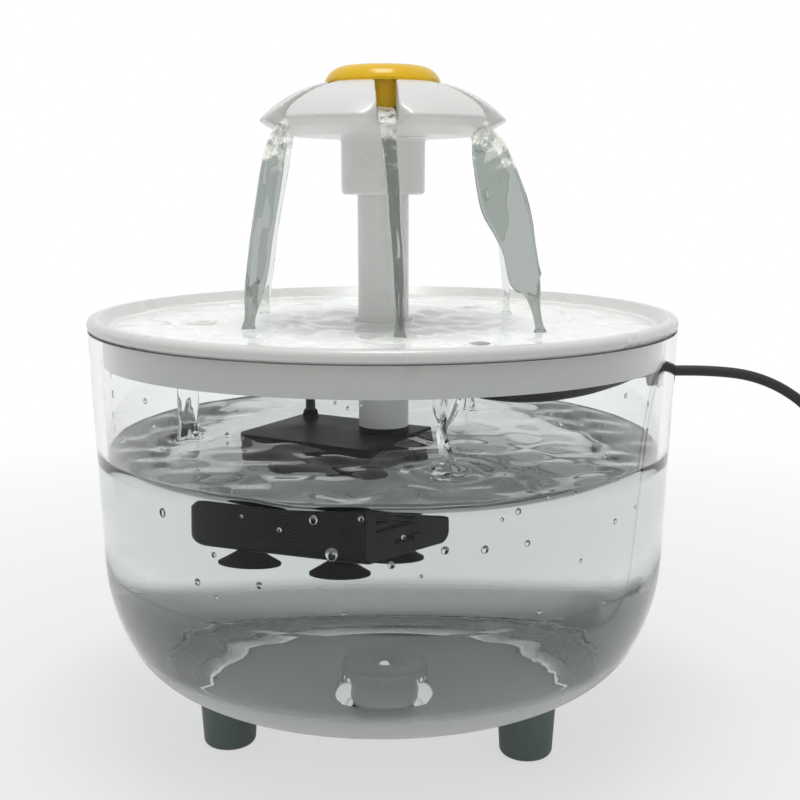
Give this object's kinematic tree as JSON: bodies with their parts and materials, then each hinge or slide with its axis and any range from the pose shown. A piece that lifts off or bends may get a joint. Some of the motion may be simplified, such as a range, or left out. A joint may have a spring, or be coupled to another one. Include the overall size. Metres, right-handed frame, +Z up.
{
  "type": "pet water fountain",
  "caption": "Round clear-bowl pet drinking fountain with a dished white tray, a riser tube with a petalled flower outlet, and a hanging USB pump on a cable.",
  "frame": {"origin": "on the table, under the bowl's axis", "axes": "+Z up along the riser tube, -Y towards the viewer's front, +X to the right, where the cable leaves"},
  "size_m": [0.3107, 0.2044, 0.2178],
  "materials": {
    "clear_plastic": "clear, glossy",
    "foot_rubber": "matt",
    "white_plastic": "semi-gloss",
    "yellow_plastic": "glossy",
    "black_plastic": "satin",
    "black_rubber": "matt",
    "foam": "open-cell foam",
    "potting": "cast resin",
    "ceramic_shaft": "ground ceramic",
    "magnet": "ferrite",
    "impeller_plastic": "moulded",
    "core_steel": "laminated",
    "copper_coil": "enamelled wire",
    "cable_jacket": "satin",
    "tie_plastic": "matt",
    "plug_plastic": "satin",
    "plug_metal": "plated",
    "plug_tongue": "moulded"
  },
  "bodies": {
    "root": {"bowl": "clear_plastic", "foot_left": "foot_rubber", "foot_right": "foot_rubber", "foot_rear": "foot_rubber", "pump_cable": "cable_jacket", "cable_run": "cable_jacket", "cable_coil": "cable_jacket", "cable_tail": "cable_jacket", "cable_tie": "tie_plastic", "usb_plug_body": "plug_plastic", "usb_plug_shell": "plug_metal", "usb_plug_tongue": "plug_tongue", "cable_grommet": "black_rubber"},
    "tray": {"tray": "white_plastic", "riser_tube": "white_plastic", "pump_housing": "black_plastic", "outlet_nozzle": "black_plastic", "nozzle_ring": "black_rubber", "volute_cover": "black_plastic", "impeller_shaft": "ceramic_shaft", "front_bush": "black_rubber", "rear_bush": "black_rubber", "stator_core": "core_steel", "stator_coil": "copper_coil", "pump_back_plate": "potting", "suction_cup_1": "black_rubber", "suction_cup_2": "black_rubber", "suction_cup_3": "black_rubber", "suction_cup_4": "black_rubber", "cable_gland": "black_rubber", "intake_sponge": "foam"},
    "front_cover": {"pump_front_cover": "black_plastic"},
    "slider": {"flow_slider": "black_plastic"},
    "impeller": {"impeller": "impeller_plastic", "rotor_magnet": "magnet"},
    "flower": {"flower_petals": "white_plastic"},
    "heart": {"flower_heart": "yellow_plastic"}
  },
  "joints": [
    {"name": "tray_lift", "type": "slide", "parent": "root", "child": "tray", "axis": [0, 0, 1], "range_m": [0, 0.04], "deforming": ["pump_cable"]},
    {"name": "flower_turn", "type": "hinge", "parent": "tray", "child": "flower", "pos_m": [0, 0, 0.186], "axis": [0, 0, 1], "continuous": true},
    {"name": "heart_lift", "type": "slide", "parent": "flower", "child": "heart", "axis": [0, 0, 1], "range_m": [0, 0.014]},
    {"name": "impeller_spin", "type": "hinge", "parent": "tray", "child": "impeller", "pos_m": [-0.00355, -0.00615, 0.0838], "axis": [-0.866, 0.5, 0], "continuous": true},
    {"name": "cover_pull", "type": "slide", "parent": "tray", "child": "front_cover", "axis": [0.866, -0.5, 0], "range_m": [0, 0.012]},
    {"name": "flow_adjust", "type": "slide", "parent": "front_cover", "child": "slider", "axis": [-0.5, -0.866, 0], "range_m": [0, 0.008]}
  ]
}
